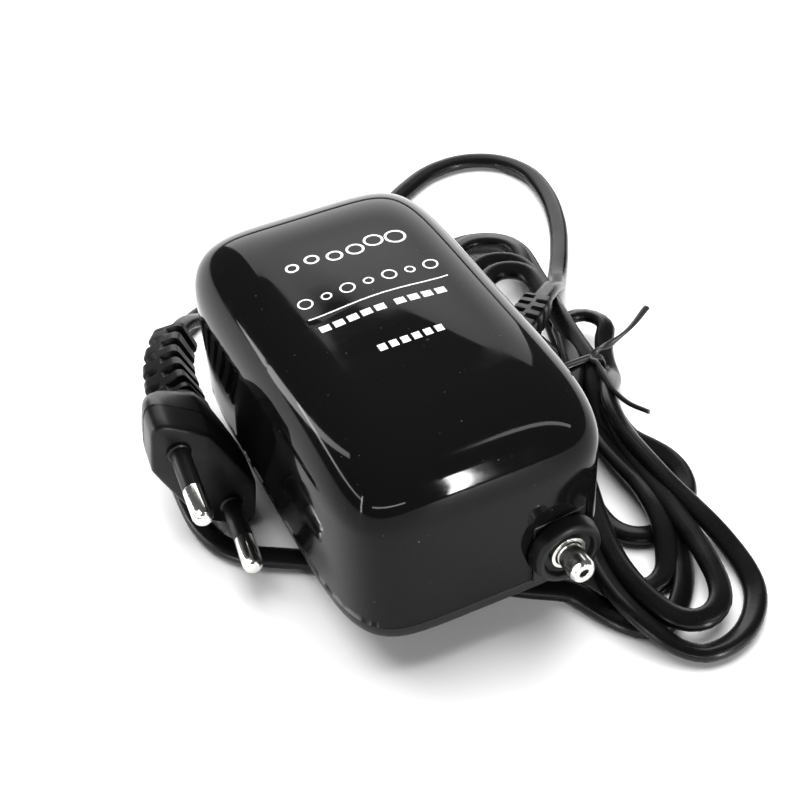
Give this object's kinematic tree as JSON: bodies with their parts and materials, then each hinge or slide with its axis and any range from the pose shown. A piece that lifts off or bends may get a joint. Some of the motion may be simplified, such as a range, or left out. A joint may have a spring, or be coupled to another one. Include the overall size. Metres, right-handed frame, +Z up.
{
  "type": "aquarium air pump",
  "caption": "Small mains aquarium air pump: domed black case with an air nozzle, vibrating-arm diaphragm works inside, flat cord in a tied hank and a two-pin plug.",
  "frame": {"origin": "on the floor, below the middle of the pump's bounding box (cord, hank and plug left out)", "axes": "+Z up, -Y the way the air nozzle points, +X the side where the mains cord leaves"},
  "size_m": [0.1274, 0.1704, 0.05],
  "materials": {
    "cover_black": "polished black ABS",
    "base_black": "satin moulded plastic",
    "rubber_black": "moulded rubber",
    "zinc_steel": "zinc plated",
    "lamination": "varnished lamination edges",
    "magnet": "sintered ferrite",
    "copper_wire": "enamelled copper wire",
    "white_plastic": "moulded nylon",
    "grey_plastic": "moulded acetal",
    "flap_rubber": "thin silicone sheet",
    "felt": "felt",
    "cord_black": "flat PVC sheath",
    "plug_black": "moulded PVC",
    "nickel": "nickel plated",
    "lead_brown": "insulated wire",
    "lead_blue": "insulated wire",
    "tie_black": "wire tie in plastic film"
  },
  "bodies": {
    "housing": {"top_cover": "cover_black", "base_tray": "base_black", "foot_front_left": "rubber_black", "foot_front_right": "rubber_black", "foot_rear_left": "rubber_black", "foot_rear_right": "rubber_black", "cover_screw_1": "zinc_steel", "cover_screw_2": "zinc_steel", "cover_screw_3": "zinc_steel", "cover_screw_4": "zinc_steel", "laminated_core": "lamination", "coil_bobbin": "white_plastic", "coil_winding": "copper_wire", "thermal_fuse": "white_plastic", "core_clamp": "zinc_steel", "core_screw_left": "zinc_steel", "core_screw_right": "zinc_steel", "arm_pivot_pin": "zinc_steel", "pivot_rubber": "rubber_black", "diaphragm": "rubber_black", "valve_chamber": "white_plastic", "valve_cover": "white_plastic", "valve_screw_1": "zinc_steel", "valve_screw_2": "zinc_steel", "outlet_nozzle": "nickel", "nozzle_washer": "nickel", "outlet_bush": "rubber_black", "filter_felt": "felt", "filter_cap": "base_black", "cord_strain_relief": "rubber_black", "lead_live": "lead_brown", "lead_neutral": "lead_blue", "splice_live": "zinc_steel", "splice_neutral": "zinc_steel", "mains_cord_loop": "cord_black", "cord_hank_front": "cord_black", "cord_hank_rear": "cord_black", "twist_tie": "tie_black", "mains_cord_tail": "cord_black", "plug_body": "plug_black", "plug_strain_relief": "plug_black", "plug_sleeve_upper": "plug_black", "plug_sleeve_lower": "plug_black", "plug_pin_upper": "nickel", "plug_pin_lower": "nickel"},
    "arm": {"swing_arm": "grey_plastic", "arm_magnet": "magnet", "diaphragm_washer": "zinc_steel", "diaphragm_screw": "zinc_steel"},
    "inlet_valve": {"inlet_flap": "flap_rubber"},
    "outlet_valve": {"outlet_flap": "flap_rubber"}
  },
  "joints": [
    {"name": "arm_swing", "type": "hinge", "parent": "housing", "child": "arm", "pos_m": [-0.0056, -0.031, 0.025], "axis": [0, 0, 1], "range_deg": [-1.2, 1.2], "stiffness_Nm_per_rad": 0.4},
    {"name": "inlet_flap_hinge", "type": "hinge", "parent": "housing", "child": "inlet_valve", "pos_m": [0.0087, -0.0141, 0.025], "axis": [0, 0, 1], "range_deg": [0, 12], "stiffness_Nm_per_rad": 0.0002},
    {"name": "outlet_flap_hinge", "type": "hinge", "parent": "housing", "child": "outlet_valve", "pos_m": [0.0119, -0.0231, 0.025], "axis": [0, 0, -1], "range_deg": [0, 12], "stiffness_Nm_per_rad": 0.0002}
  ]
}
